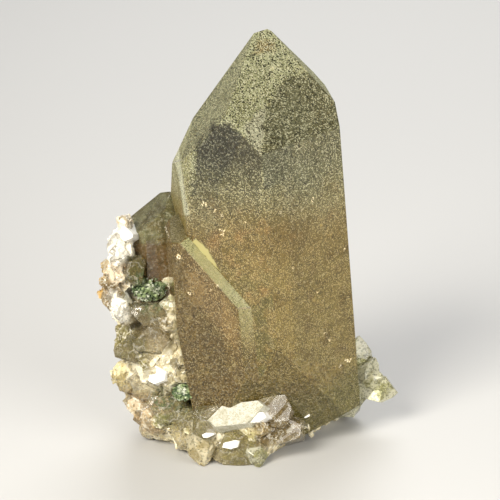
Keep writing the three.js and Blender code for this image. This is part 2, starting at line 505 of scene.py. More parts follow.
tan = (0.38, 0.28, 0.085)
orange = (0.46, 0.27, 0.08)
paleOlive = (0.66, 0.68, 0.40)
footBrown = (0.20, 0.185, 0.045)
smokyLook = {
    "golden": (0.26, 0.18, 0.04),
    "olive": (0.40, 0.40, 0.19),
    "lower": (0.20, 0.13, 0.03),
    "clouds": {"drift": (9, 3), "clouds": (2.6, 4), "streaks": (3.6, 4)},  # size in mm and detail
    "grains": {"speck": 0.18},  # mm
    "waverX": (2.4, 1.6),  # size and reach of the wavering of the zones' edges, mm
    "waverZ": (2.9, 1.6),
    "tip": (47, 61),  # height where golden turns to olive, mm
    "tipDrift": 8,  # mm that the drifting clouds move that height
    "lobeShadeDrift": 4,  # the same for the soft lower edge of the left lobe's painted shade
    "footSlope": 0.3,  # rise of the foot's edge to the right
    "front": (-5, -9),  # y, mm
    "darkSpecks": {
        "colour": (0.02, 0.018, 0.006), "range": (0.36, 0.2), "share": 0.7, "moreAtTip": 0.25,
        "lessOnPale": 0.4,
    },
    "brightSpecks": {
        "below": (0.95, 0.84, 0.50), "atTip": (0.95, 0.93, 0.62), "range": (0.72, 0.86), "share": 0.38,
        "moreAtTip": 0.47, "hidden": {"leftLobeShade": 0.62, "rightLobeShade": 0.3},
    },
    "roughness": 0.12,
    "shelfRoughness": 0.5,
    "gloss": 0.35,
    "transmission": 0.62,
    "sideRoughness": 0.4,
    "sideTransmission": 0.4,
    "ripples": (0.5, 3),
    "bump": (0.2, 0.02),  # strength, and depth in mm
    "deep": (0.80, 0.66, 0.36),  # colour of the absorption
    "density": 55.0,
}
outlines = {  # corners (x, z) of the coloured zones seen from the front, mm
    "leftLobeShade": [
        (-14.8, 40), (-1.2, 40), (-1.2, 60.7), (-4.2, 63.8), (-6.9, 65.8), (-9.8, 65.2), (-13, 60.8),
    ],
    "rightLobeShade": [
        (-1.2, 40), (13.6, 40), (13.6, 62), (12.1, 67), (8.5, 71), (2.9, 71.4), (-0.2, 67.9), (-1, 63),
    ],
    "vee": [(-1.2, 60.4), (-0.7, 65.3), (-0.3, 67.7), (-4.2, 65.6), (-4, 64)],
    "vein": [(-17, 55.4), (-15.9, 51), (-15.1, 47.4), (-14.5, 47.6), (-15, 52), (-16, 56.6), (-16.9, 57.8)],
    "spot": [(-2.6, 75.7), (1.2, 75.4), (1, 76.8), (-1.9, 77.2)],
    "chip": [(-13.7, 41.7), (-11.1, 39.4), (-7.6, 35.6), (-9.5, 38.6), (-10.9, 41), (-13.1, 43)],
    "tan": [(-14.9, 33.5), (-5.9, 22.9), (-5.5, 28.5), (-8.2, 33.5), (-14, 40)],
}
lobeShades = {  # the two grey lobes: clearer zones of the crystal, painted dark as the shade seen through them
    "leftLobeShade": {
        "outline": "leftLobeShade", "soft": 0.6, "masks": ["front"], "ranges": {"lobeShadeHeight": (45, 63)},
    },
    "rightLobeShade": {"outline": "rightLobeShade", "soft": 0.6, "masks": ["front"], "ranges": {"z": (46, 59)}},
}
paleFaces = (
    {"face": lowerPlanes["pointFrontRight"]},
    {"face": lowerPlanes["steepFront"], "share": 0.7, "ranges": {"z": (20, 30)}},
    {"face": lowerPlanes["leftUndercut"], "share": 0.5},
    {"face": mainPlanes["ribbon"], "ranges": {"underFront": (1.3, 0.9), "clouds": (0.38, 0.5)}},
)
smokyLayers = {
    "golden": (
        {"colour": tan, "ranges": {"thickClouds": (0.85, 1.2)}},
        {"colour": orange, "share": 0.8, "ranges": {"streaks": (0.54, 0.68), "z": (24, 36)}},
    ),
    "olive": (
        {"colour": paleOlive, "share": 0.6, "ranges": {"thickClouds": (0.85, 1.15)}},
        {"colour": paleOlive, "share": 0.7, "ranges": {"z": (66, 78)}},
    ),
    "lower": (
        {"colour": tan, "share": 0.6, "ranges": {"clouds": (0.5, 0.68)}},
        {"colour": (0.38, 0.25, 0.085), "outline": "tan", "soft": 1},
    ),
    "faces": (
        {
            "colour": (0.44, 0.34, 0.10), "share": 0.75, "face": mainPlanes["frontRight"],
            "ranges": {"z": (46, 34), "clouds": (0.36, 0.5)},
        },
        {"colour": footBrown, "share": 0.75, "ranges": {"aboveFoot": (13, 7)}},
        # painted shade: the front-left face darker low down
        {
            "colour": footBrown, "share": 0.8, "face": mainPlanes["frontLeft"],
            "ranges": {"z": (44, 32), "clouds": (0.66, 0.44)},
        },
    ),
    "zones": (
        # painted shade: the two lobes darkened as the dark seen through the clear crystal
        {"colour": (0.014, 0.013, 0.003), "share": 0.95, "masks": ["leftLobeShade"]},
        {"colour": (0.17, 0.165, 0.085), "share": 0.85, "masks": ["rightLobeShade"]},
        # painted light: a pale V where the point faces above show bright through the front
        {"colour": (0.62, 0.60, 0.44), "share": 0.6, "masks": ["front"], "outline": "vee", "soft": 0.4},
        {"colour": orange, "share": 0.6, "masks": ["front"], "outline": "spot", "soft": 0.7},
        {"colour": (0.54, 0.53, 0.25), "masks": ["pale"]},
        {"colour": (0.24, 0.20, 0.06), "face": lowerPlanes["shelf"]},
        # painted shade: the undercut, which faces down, darker
        {"colour": (0.12, 0.10, 0.015), "share": 0.5, "face": mainPlanes["undercut"]},
        # painted shade: the steep side faces darker
        {"colour": (0.16, 0.14, 0.035), "share": 0.45, "masks": ["sides"]},
        {"colour": (0.80, 0.82, 0.58), "ranges": {"y": (-2, -6)}, "outline": "vein", "soft": 0.3},
    ),
    # painted highlight: a crack in the front-left face, coloured bright as the light it catches
    "chip": (
        {"colour": (0.98, 0.90, 0.38), "face": mainPlanes["frontLeft"], "outline": "chip", "soft": 0.2},
    ),
}


def addSmokyFields(f, look):
    f.addPatterns(look)
    fields = f.fields
    fields["x"] = f.wavering("X", *look["waverX"])
    fields["y"] = f.axis("Y")
    fields["z"] = f.wavering("Z", *look["waverZ"])
    fields["thickClouds"] = fields["drift"] + fields["clouds"]
    fields["aboveFoot"] = fields["z"] - look["footSlope"] * fields["x"]
    fields["lobeShadeHeight"] = fields["z"] + fields["drift"] * look["lobeShadeDrift"]
    fields["underFront"] = f.under(*mainPlanes["frontLeft"])


def addSmokyMasks(f, look):
    height = f.fields["z"] + f.fields["drift"] * look["tipDrift"]
    f.masks["tip"] = f.step(height, *look["tip"])
    sides = [f.face(*mainPlanes[name]) for name in dullSides]
    f.masks["sides"] = sum(sides[1:], sides[0]).least(1)
    f.masks["front"] = f.step(f.fields["y"], *look["front"]) * (1 - f.masks["sides"])
    pale = [f.area(part) * part.get("share", 1) for part in paleFaces]
    f.masks["pale"] = sum(pale[1:], pale[0]).least(1)
    for name, stain in lobeShades.items():
        f.masks[name] = f.area(stain)


def addSpecks(f, body, dark, bright):
    speck = f.fields["speck"]
    tip = f.masks["tip"]
    share = dark["share"] + dark["moreAtTip"] * tip - dark["lessOnPale"] * f.masks["pale"]
    body = f.mix(body, dark["colour"], f.step(speck, *dark["range"]) * share)
    share = bright["share"] + bright["moreAtTip"] * tip
    for name, hidden in bright["hidden"].items():
        share = share * (1 - hidden * f.masks[name])
    tint = f.mix(bright["below"], bright["atTip"], tip)
    return f.mix(body, tint, f.step(speck, *bright["range"]) * share)


def smokyFinish(look, layers):
    f = Finish("smokyQuartz")
    addSmokyFields(f, look)
    addSmokyMasks(f, look)
    golden = f.paint(look["golden"], layers["golden"])
    olive = f.paint(look["olive"], layers["olive"])
    body = f.paint(f.mix(golden, olive, f.masks["tip"]), layers["faces"])
    lower = f.paint(look["lower"], layers["lower"])
    body = f.mix(body, lower, f.face(*lowerPlanes["frontLeft"]))
    body = f.paint(body, layers["zones"])
    body = addSpecks(f, body, look["darkSpecks"], look["brightSpecks"])
    body = f.paint(body, layers["chip"])
    roughness = look["roughness"] + look["shelfRoughness"] * f.face(*lowerPlanes["shelf"])
    f.set({
        "Base Color": body, "Roughness": roughness, "Transmission Weight": look["transmission"],
        "IOR": quartzIor, "Specular IOR Level": look["gloss"],
    })
    f.bump(f.noise(*look["ripples"]), *look["bump"])
    f.overlay(f.masks["sides"], {
        "Base Color": body, "Roughness": look["sideRoughness"], "IOR": quartzIor,
        "Transmission Weight": look["sideTransmission"], "Specular IOR Level": 0.0,
    })
    deep = {"Color": colour(look["deep"]), "Density": look["density"]}
    f.feed(f.end.inputs["Volume"], f.add("VolumeAbsorption", {}, deep, "Volume"))
    return f


def addMainCrystals(finish):
    main = addPiece("mainCrystals", cutCrystal(mainFaces.values(), lean, bevels["main"]), finish)
    lower = cutCrystal(lowerFaces.values(), lean, bevels["lower"])
    combine(main, newObject("lowerCrystal", lower), "UNION")
    flattenFoot(main)


addMainCrystals(smokyFinish(smokyLook, smokyLayers))
print("main crystals made")


# Flakes of chlorite, and cracks painted bright as glints, inside the main crystals

flakes = {  # sizes and depths in mm; flat is the thickness for a width of 1
    "dark": {
        "count": 16000, "size": (0.14, 0.3), "depth": 2.5, "flat": 0.5, "corners": 3,
        "colour": (0.05, 0.06, 0.02), "seed": 11,
    },
    "pale": {
        "count": 8000, "size": (0.1, 0.2), "depth": 3.0, "flat": 0.5, "corners": 3,
        "colour": (0.75, 0.66, 0.40), "seed": 12,
    },
    "glintCracks": {
        "count": 60, "size": (0.5, 1.5), "depth": 4.0, "flat": 0.12, "corners": 5,
        # painted highlight: real cracks, coloured bright as the light they catch
        "colour": (0.98, 0.84, 0.56), "seed": 13,
    },
}
flakeLook = {"dim": 0.6, "clouds": (1.3, 2), "range": (0.3, 0.7), "roughness": 0.5}
insideBox = ((-22, -26, 1), (17, 15, 79))
flakeGap = 0.25  # mm between a flake and the crystal's faces
flakeTries = 14  # points tried for each flake
flakeWidth = (0.5, 1)  # share of a flake's length
glints = (  # face, x and z of the cracks painted bright as glints in the front faces, and their size in mm
    ("frontLeft", -11.6, 50.1, 1.1), ("frontLeft", -9.6, 49, 0.7), ("frontLeft", -8.3, 48.3, 0.6),
    ("frontLeft", -8.4, 45, 1.2), ("frontLeft", -4.2, 47.5, 0.5), ("frontRight", 14.9, 16.1, 1.5),
    ("frontRight", 13.4, 15.8, 0.8), ("frontRight", 11.4, 21.8, 0.7), ("frontRight", 10.4, 23.5, 0.5),
    ("frontRight", 14, 38.6, 0.6), ("frontRight", 4.4, 38, 0.5), ("frontRight", 2, 49.3, 0.7),
    ("frontRight", 7.8, 49.9, 0.8), ("frontRight", 8.9, 32, 0.5), ("lower", -16.1, 40.3, 1.3),
    ("lower", -14.4, 32.8, 0.9), ("lower", -9.3, 35.1, 0.5), ("lower", -10.4, 34.2, 0.5),
)
glintShape = {  # for a glint of size 1, apart from the turn in radians and the thickness in mm
    "splinters": 6, "x": (-0.4, 0.4), "z": (-0.5, 0.5), "turn": 6.3, "length": (0.4, 0.9),
    "width": (0.25, 0.5), "thick": 0.12,
}


# How far inside the crystal with these planes each point lies, in mm; below zero outside it.
def depthInside(points, planes):
    return np.min([distance - points @ np.array(normal) for normal, distance in planes.values()], axis=0)


def flakePlaces(settings, low, high):
    draw = np.random.RandomState(settings["seed"])
    points = draw.uniform(low, high, (settings["count"] * flakeTries, 3))
    depth = np.maximum(depthInside(points, mainPlanes), depthInside(points, lowerPlanes))
    gap = flakeGap + settings["size"][1] / 2
    kept = (depth > gap) & (depth < gap + draw.exponential(settings["depth"], len(points)))
    return points[kept][:settings["count"]]


def addFlakes(name, settings, look):
    draw = random.Random(settings["seed"])
    matrices = []
    for place in flakePlaces(settings, *insideBox):
        size = draw.uniform(*settings["size"])
        shape = sizeMatrix(size, size * draw.uniform(*flakeWidth), size * settings["flat"])
        matrices.append(Matrix.Translation(Vector(place) * mm) @ anyTurn(draw) @ shape)
    if name == "glintCracks":
        matrices += glintMatrices(draw, glintShape)
    template = bmesh.new()
    bmesh.ops.create_cone(
        template, cap_ends=True, segments=settings["corners"], radius1=0.5, radius2=0, depth=0.7
    )
    f = Finish("flakes_" + name)
    tone = f.step(f.noise(*look["clouds"]), *look["range"])
    dim = tuple(c * look["dim"] for c in settings["colour"])
    f.set({"Base Color": f.mix(dim, settings["colour"], tone), "Roughness": look["roughness"]})
    addPiece("flakes_" + name, joinedCopies(template, matrices), f)


# The cracks painted bright as glints that show best, each of a few thin splinters lying in its face.
def glintMatrices(draw, shape):
    matrices = []
    for name, x, z, size in glints:
        face = lowerFaces["frontLeft"] if name == "lower" else mainFaces[name]
        normal, distance = leanedFace(face)
        for _ in range(shape["splinters"]):
            px = x + draw.uniform(*shape["x"]) * size
            pz = z + draw.uniform(*shape["z"]) * size
            py = (distance - px * normal[0] - pz * normal[2]) / normal[1]
            turn = facing(face[0], 90) @ Matrix.Rotation(draw.uniform(0, shape["turn"]), 4, "Z")
            length = size * draw.uniform(*shape["length"])
            width = size * draw.uniform(*shape["width"])
            flat = sizeMatrix(length, width, shape["thick"])
            matrices.append(Matrix.Translation(Vector((px, py, pz)) * mm) @ turn @ flat)
    return matrices


for name, settings in flakes.items():
    addFlakes(name, settings, flakeLook)
print("flakes made")


# Crust

crust = {
    "lumps": (  # centre, half sizes, turn
        ((-18.6, -4, 27.4), (9.4, 9.6, 10.4), 64),
        ((-17.4, -5, 14.5), (9.6, 11.4, 13.6), 190),
        ((-7, -9, 5), (13, 13, 8.4), 12),
        ((5, 2, 3), (10, 10, 6.4), 100),
        ((-6, 5, 5), (14, 8, 8), 240),
        ((8, 4, 4), (8, 8, 7), 310),
        ((-26.5, -7.6, 41.4), (1.6, 2.8, 3.1), 75),
        ((-26.9, -7.8, 36.6), (3.4, 4.2, 4.4), 20),
        ((-28, -7.2, 32), (3, 4.2, 3.6), 260),
        ((-27.1, -6.4, 28.2), (4.6, 5.4, 5), 200),
        ((-26.8, -9.8, 27.2), (3, 3.2, 3.6), 145),
        ((-24.4, -6, 18.6), (4.6, 6, 5), 15),
        ((-24.6, -6.5, 11.8), (4.6, 6, 4.4), 95),
        ((-22.4, -8.6, 6.6), (4.4, 6, 4.6), 140),
        ((-18.4, -10.4, 4.6), (5.6, 7, 5.4), 185),
        ((-12.6, -13, 4), (6, 7, 5.4), 320),
        ((-4.6, -15.4, 3.6), (7.4, 7.6, 5.6), 30),
        ((1, -12, 4.8), (6.6, 6.8, 5.4), 125),
        ((7.6, -7.6, 5.6), (4.6, 6, 4.6), 170),
    ),
    "lumpFaces": 12,
    "lumpReach": (0.86, 0.14, 5.1),  # share of the half size, as uneven takes it
    "voxel": 0.33,  # mm
    "chips": ((3.6, 0.34, 0.2), (1.5, 0.3, 0.08)),  # cell size, slope and step of each size of chip
    "chipSeed": 9.7,
    "inset": 0.4,  # mm that the surface lies under the solids, so that its chips stay inside them
    "deepest": 1.2,
    "highest": 0.1,
}
hollows = (  # centre, half sizes, turn
    ((-22, -9.2, 30), (3.9, 3.4, 2.9), 40),
    ((-22.2, -12.6, 30.2), (3.9, 4.6, 3), 75),
    ((-15.8, -16.4, 12.2), (2.5, 2.6, 1.8), 160),
    ((-15.8, -19, 12.4), (2.5, 3, 1.8), 20),
)


def lumpShape(at, half, turn):
    faces = []
    count = crust["lumpFaces"]
    for i in range(count):
        polar = math.degrees(math.acos(1 - (2 * i + 1) / count))
        faces.append((turn + i * goldenAngle, polar, uneven(crust["lumpReach"], i, turn)))
    matrix = Matrix.Translation(Vector(at) * mm) @ sizeMatrix(*half)
    return cutCrystal(faces, matrix, block=4, unit=1)


def addCrust(settings, finish):
    shapes = [lumpShape(*lump) for lump in settings["lumps"]]
    piece = addPiece("crust", gather(shapes), finish)
    remesh = piece.modifiers.new("join", "REMESH")
    remesh.mode = "VOXEL"
    remesh.voxel_size = settings["voxel"] * mm
    settle(piece)
    for hollow in hollows:
        combine(piece, newObject("hollow", lumpShape(*hollow)), "DIFFERENCE")
    chip(piece, settings)
    flattenFoot(piece)
    print("crust", len(piece.data.polygons), "faces")
    return piece


# Breaks a surface into flat chips: each cell of space tilts and lifts it in its own way.
def chip(obj, settings):
    mesh = obj.data
    count = len(mesh.vertices)
    places = np.empty(count * 3, dtype=np.float32)
    normals = np.empty(count * 3, dtype=np.float32)
    mesh.vertices.foreach_get("co", places)
    mesh.vertex_normals.foreach_get("vector", normals)
    places = places.reshape(-1, 3)
    normals = normals.reshape(-1, 3)
    shades = np.zeros(count, dtype=np.float32)
    for i in range(count):
        here = Vector(places[i]) / mm
        lift = -settings["inset"]
        for size, slope, ledge in settings["chips"]:
            middle = noise.voronoi(here / size)[1][0]
            tilt = noise.cell_vector(middle * settings["chipSeed"])  # random, from 0 to 1 on each axis
            tilt -= Vector((0.5, 0.5, 0.5))
            lift += slope * tilt.dot(here - middle * size) * 2 + ledge * (tilt.x + tilt.y)
            shades[i] += tilt.z * 0.5
        places[i] += normals[i] * max(-settings["deepest"], min(settings["highest"], lift)) * mm
    mesh.vertices.foreach_set("co", places.ravel())
    attribute = mesh.attributes.new("shade", "FLOAT", "POINT")
    attribute.data.foreach_set("value", shades + 0.5)
    mesh.update()


crustLook = {
    "plain": (0.68, 0.59, 0.36),
    "white": (0.97, 0.92, 0.76),
    "brown": (0.22, 0.155, 0.06),
    "rim": (0.70, 0.46, 0.15),
    "dust": (0.16, 0.26, 0.12),
    "waverX": (2.4, 3),  # size and reach of the wavering of the zones' edges, mm
    "waverZ": (2.9, 3),
    "fullZone": 0.6,  # share of a zone's reach where its colour is full
    "fullDust": 0.4,
    "dustClouds": (0.9, 4),
    "veins": {"size": 2.6, "level": 0.5, "width": (0.022, 0.006)},
    "veinShare": 0.8,
    "shadows": {"size": 3.4, "level": 0.46, "width": (0.018, 0.004)},
    "shadowShare": 0.5,
    "zones": (  # x, z and reach of each coloured zone seen from the front, mm
        ((-26.5, 43.4), 3.2, (0.80, 0.68, 0.47)),
        ((-26.8, 38.5), 4.4, (0.99, 0.95, 0.84)),
        ((-27.8, 33.0), 3.2, (0.86, 0.72, 0.52)),
        ((-29.8, 28.6), 3.8, (0.26, 0.18, 0.08)),
        ((-26.2, 27.2), 3.6, (1.0, 0.97, 0.87)),
        ((-23.6, 34.4), 3.0, (0.28, 0.24, 0.085)),
        ((-21.7, 24.5), 4.8, (0.46, 0.38, 0.21)),
        ((-25.6, 19.2), 4.0, (0.30, 0.26, 0.10)),
        ((-27.6, 12.6), 3.6, (0.90, 0.78, 0.42)),
        ((-24.2, 14.0), 3.0, (0.92, 0.84, 0.60)),
        ((-22.8, 6.5), 5.0, (0.60, 0.46, 0.26)),
        ((-19.4, 6.5), 2.2, (0.38, 0.37, 0.15)),
        ((-14.5, 8), 4.4, (0.44, 0.39, 0.18)),
        ((-16.5, 2), 4.2, (0.90, 0.80, 0.50)),
        ((-5, 3), 4.6, (0.38, 0.33, 0.13)),
        ((2, 8), 5.0, (0.33, 0.24, 0.10)),
    ),
}
dustPlaces = (((-22, -12, 30.4), 6.2), ((-16.4, -18, 11.6), 4.2), ((-20, -16, 10.6), 3.2))  # centre, reach
crustLayers = {
    "all": (
        {"colour": crustLook["rim"], "ranges": {"x": (-29.8, -31.6), "z": (36, 33), "height": (20, 23)}},
        {
            "colour": crustLook["dust"], "share": 0.8, "masks": ["dust"],
            "ranges": {"dustClouds": (0.42, 0.56)},
        },
    ),
    "surface": (
        {"colour": crustLook["white"], "share": 0.6, "ranges": {"clouds": (0.5, 0.66)}},
        {"colour": crustLook["brown"], "share": 0.25, "ranges": {"clouds": (0.36, 0.26)}},
    ),
    "paleChips": ({"colour": crustLook["white"], "share": 0.5, "ranges": {"shade": (0.55, 0.85)}},),
}
surfaceLook = {
    "clouds": {"clouds": (0.6, 3)},
    "roughness": 0.35,
    "transmission": 0.15,
    "glassyChips": (0.44, 0.38),  # shade of the chips that are glassy
    "glassyPatch": 2,  # mm
    "glassyPatches": (0.6, 0.55),  # random value of the patches of splinters that are glassy
    "glassyBrown": 0.06,
    "glassyRoughness": 0.1,
    "glassyTransmission": 0.5,
    "ripples": (0.4, 4),
    "bump": (0.3, 0.06),
}


def crustColours(f, look, layers):
    fields = f.fields
    fields["x"] = f.wavering("X", *look["waverX"])
    fields["z"] = f.wavering("Z", *look["waverZ"])
    fields["height"] = fields["z"]  # for a layer with an upper and a lower end
    fields["dustClouds"] = f.noise(*look["dustClouds"])
    body = look["plain"]
    for (x, z), reach, tint in look["zones"]:
        gap = abs(fields["x"] - x).most(abs(fields["z"] - z))
        body = f.mix(body, tint, f.step(gap, reach, reach * look["fullZone"]))
    dust = 0
    for place, reach in dustPlaces:
        dust = f.step(f.away(place), reach, reach * look["fullDust"]) + dust
    f.masks["dust"] = dust.least(1)
    body = f.paint(body, layers["all"])
    body = f.mix(body, look["white"], f.lines(**look["veins"]) * look["veinShare"])
    return f.mix(body, look["brown"], f.lines(**look["shadows"]) * look["shadowShare"])


def crustFinish(name, look, shaded):
    f = Finish(name)
    f.addPatterns(look)
    body = f.paint(crustColours(f, crustLook, crustLayers), crustLayers["surface"])
    glassy = f.mix(body, crustLook["brown"], look["glassyBrown"])
    if shaded:
        f.fields["shade"] = f.add("Attribute", {"attribute_name": "shade"}, {}, "Fac")
        mask = f.step(f.fields["shade"], *look["glassyChips"])
        body = f.paint(body, crustLayers["paleChips"])
    else:
        mask = f.step(f.grains(look["glassyPatch"]), *look["glassyPatches"])
    f.set({
        "Base Color": body, "Roughness": look["roughness"], "Transmission Weight": look["transmission"],
        "IOR": quartzIor,
    })
    f.bump(f.noise(*look["ripples"]), *look["bump"])
    f.overlay(mask, {
        "Base Color": glassy, "Roughness": look["glassyRoughness"],
        "Transmission Weight": look["glassyTransmission"], "IOR": quartzIor,
    })
    return f


crustPiece = addCrust(crust, crustFinish("paleQuartz", surfaceLook, True))
print("crust made")


# Splinters and crumbs of quartz on the crust

splinters = {
    "splinters": {"count": 360, "size": (0.9, 2.2), "sunk": 0.35, "seed": 21},
    "crumbs": {"count": 3000, "size": (0.3, 0.8), "sunk": 0.2, "seed": 22},
}
splinterShape = {
    "kinds": 5, "faces": 7, "turn": 40, "polar": 25, "polarStep": 21, "reach": (0.3, 0.12, 2.9),
    "width": (0.6, 1), "thick": (0.5, 1),
}
splinterTries = 3  # points tried for each splinter
splinterGap = 0.2  # mm between a splinter's place and the big crystals


# Points spread evenly over a mesh's surface, with the normals there, in mm.
def surfacePoints(obj, count, seed):
    mesh = obj.data
    mesh.calc_loop_triangles()
    corners = np.array([t.vertices[:] for t in mesh.loop_triangles])
    places = np.empty(len(mesh.vertices) * 3, dtype=np.float32)
    mesh.vertices.foreach_get("co", places)
    a, b, c = (places.reshape(-1, 3)[corners[:, i]] / mm for i in range(3))
    cross = np.cross(b - a, c - a)
    area = np.linalg.norm(cross, axis=1)
    draw = np.random.RandomState(seed)
    chosen = draw.choice(len(area), count, p=area / area.sum())
    u, v = draw.uniform(0, 1, (2, count, 1))
    folded = u + v > 1
    u, v = np.where(folded, 1 - u, u), np.where(folded, 1 - v, v)
    points = a[chosen] + u * (b - a)[chosen] + v * (c - a)[chosen]
    return points, cross[chosen] / area[chosen][:, None]


# One kind of splinter, which each copy brings to its size.
def splinterTemplate(kind, shape):
    faces = []
    for i in range(shape["faces"]):
        azimuth = kind * shape["turn"] + i * goldenAngle
        faces.append((azimuth, shape["polar"] + i * shape["polarStep"], uneven(shape["reach"], i, kind)))
    return cutCrystal(faces, Matrix.Identity(4), block=1, unit=1)


def addSplinters(name, settings, finish):
    points, normals = surfacePoints(crustPiece, settings["count"] * splinterTries, settings["seed"])
    depth = np.maximum(depthInside(points, mainPlanes), depthInside(points, lowerPlanes))
    low, high = settings["size"]
    kept = (depth < -splinterGap) & (points[:, 2] > high)
    draw = random.Random(settings["seed"])
    form = splinterShape
    matrices = [[] for _ in range(form["kinds"])]
    for point, normal in zip(points[kept][:settings["count"]], normals[kept]):
        size = low + (high - low) * draw.random() ** 2
        place = Vector(point) - Vector(normal) * settings["sunk"] * size
        shape = sizeMatrix(size, size * draw.uniform(*form["width"]), size * draw.uniform(*form["thick"]))
        draw.choice(matrices).append(Matrix.Translation(place * mm) @ anyTurn(draw) @ shape)
    shapes = []
    for kind, copies in enumerate(matrices):
        shapes.append(joinedCopies(splinterTemplate(kind, form), copies))
    addPiece(name, gather(shapes), finish)


splinterFinish = crustFinish("splinterQuartz", surfaceLook, False)
for name, settings in splinters.items():
    addSplinters(name, settings, splinterFinish)
print("splinters made")


# Flat-faced blocks of the crust

blocks = {
    "depth": 9,  # mm
    "flare": 87,  # polar angle of the sides
    "sideReach": (0.86, 0.2, 3.7),  # this and the next two as uneven takes them
    "chipReach": (0.74, 0.12, 4.3),
    "chipPolar": (50, 22, 1.7),
    "chips": 5,  # corners broken off a block
    "chipTurn": 20,
    "bevel": 0.06,  # mm
    "faces": (  # kind of surface, centre of the flat face, where it faces, half sizes, turn
        # the bright blocks are painted highlight: facets coloured white as glints
        ("bright", (-26.1, -10.6, 41.2), (-16, 70), (1.3, 1.5), 10),
        ("clear", (-24.2, -11.6, 34.4), (4, 78), (2.1, 2.5), 20),
        ("clear", (-26.8, -11.8, 26.6), (-20, 76), (2.2, 2.6), 70),
        ("clear", (-21.8, -13.6, 26.2), (0, 74), (3.4, 2.6), 5),
        ("clear", (-21.4, -15, 22), (-6, 82), (3.6, 3), 50),
        ("clear", (-25.6, -12.4, 19.2), (-24, 80), (3.4, 3), 25),
        ("bright", (-20.6, -16.4, 15.8), (-14, 66), (2.0, 1.5), 15),
        ("clear", (-26.2, -10.4, 12.4), (-36, 76), (3.2, 2.6), 80),
        ("clear", (-22.8, -13.6, 12.2), (-14, 74), (3.4, 3), 35),
        ("clear", (-21.4, -14.4, 6.2), (-28, 78), (4.4, 3.2), 60),
        ("clear", (-18.6, -17, 9.4), (2, 66), (3.6, 3.2), 0),
        ("clear", (-15.2, -18.6, 5.8), (-12, 76), (3.4, 3.6), 45),
        ("clear", (-10.8, -20.6, 7.6), (12, 80), (2.8, 3.8), 20),
        ("frosted", (-5.8, -21.4, 10), (-16, 52), (5.2, 2.8), 55),
        ("curved", (-0.2, -20.4, 6.4), (10, 72), (6.2, 4.4), 30),
        ("curved", (1.4, -19.4, 10.6), (14, 62), (3.4, 3.4), 65),
        ("clear", (-5.2, -22, 3), (0, 86), (5.4, 3.2), 15),
        ("bright", (-2.4, -21.9, 9.7), (-20, 62), (2.3, 0.9), 40),
        ("bright", (-6.8, -22.6, 4.5), (-10, 70), (1.9, 0.7), 20),
        ("bright", (-11.1, -22, 6.1), (-10, 70), (1.1, 0.5), 340),
        ("bright", (7, -14.4, 7.2), (-10, 70), (0.7, 1.2), 10),
    ),
}
crustyBlock = {
    "clouds": {"whiteClouds": (1.3, 4), "brownClouds": (1.1, 4)},
    "grains": {"speck": 0.24},
    "layers": (
        {"colour": crustLook["white"], "share": 0.5, "ranges": {"whiteClouds": (0.6, 0.74)}},
        {"colour": crustLook["brown"], "share": 0.5, "ranges": {"brownClouds": (0.42, 0.3)}},
        {"colour": crustLook["brown"], "share": 0.4, "ranges": {"speck": (0.3, 0.2)}},
        {"colour": crustLook["white"], "share": 0.35, "ranges": {"speck": (0.8, 0.9)}},
    ),
}
blockLooks = {  # the two without a body colour have the crust's
    "frosted": {
        "body": (0.66, 0.64, 0.54),
        "clouds": {"clouds": (1.2, 4)},
        "grains": {"speck": 0.17},
        "layers": (
            {"colour": (0.46, 0.43, 0.30), "share": 0.6, "ranges": {"clouds": (0.46, 0.64)}},
            {"colour": (0.34, 0.31, 0.16), "share": 0.65, "ranges": {"speck": (0.4, 0.25)}},
        ),
        "rough": 0.6, "clear": 0.2, "gloss": 0.25, "bump": 0.2,
    },
    # painted highlight: small white facets standing in for glints on the crust
    "bright": {
        "body": (0.93, 0.91, 0.86),
        "clouds": {"clouds": (0.5, 4)},
        "layers": ({"colour": (0.70, 0.66, 0.55), "share": 0.6, "ranges": {"clouds": (0.5, 0.66)}},),
        "rough": 0.4, "clear": 0.1, "gloss": 0.4, "bump": 0.2,
    },
    "clear": {**crustyBlock, "rough": 0.09, "clear": 0.72, "gloss": 0.5, "bump": 0.35},
    "curved": {**crustyBlock, "rough": 0.07, "clear": 0.72, "gloss": 0.5, "bump": 0.9},
}
blockRipples = (0.9, 3)
rippleDepth = 0.12  # mm
curvedBreak = {  # the rings on quartz that broke in a curve, and the white streaks along them
    "shift": (0.004, 0.018, -0.016),  # m from the rings' centre to the origin
    "rings": {"Scale": 110.0, "Distortion": 4.0, "Detail": 2.0},
    "clouds": {"streaks": (2.4, 2)},
    "layers": ({"colour": crustLook["white"], "ranges": {"rings": (0.8, 0.97), "streaks": (0.5, 0.6)}},),
}


def blockShape(at, faces, half, turn, chips):
    planes = [(0, 0, 0), (0, 180, blocks["depth"])]
    for side in range(6):
        planes.append((turn + side * 60, blocks["flare"], uneven(blocks["sideReach"], side, turn)))
    for i in range(chips):
        azimuth = turn + blocks["chipTurn"] + i * 360 / chips
        polar = uneven(blocks["chipPolar"], i, turn)
        reach = uneven(blocks["chipReach"], i, turn) * math.sin(math.radians(polar))
        planes.append((azimuth, polar, reach))
    matrix = Matrix.Translation(Vector(at) * mm) @ facing(*faces) @ sizeMatrix(*half, 1)
    return cutCrystal(planes, matrix, blocks["bevel"], block=40, unit=1)


def curvedRings(f, look):
    centre = f.add("Mapping", {}, {0: f.place, 1: look["shift"]})
    waves = {"wave_type": "RINGS", "rings_direction": "SPHERICAL"}
    return f.add("TexWave", waves, {"Vector": centre, **look["rings"]}, "Fac")


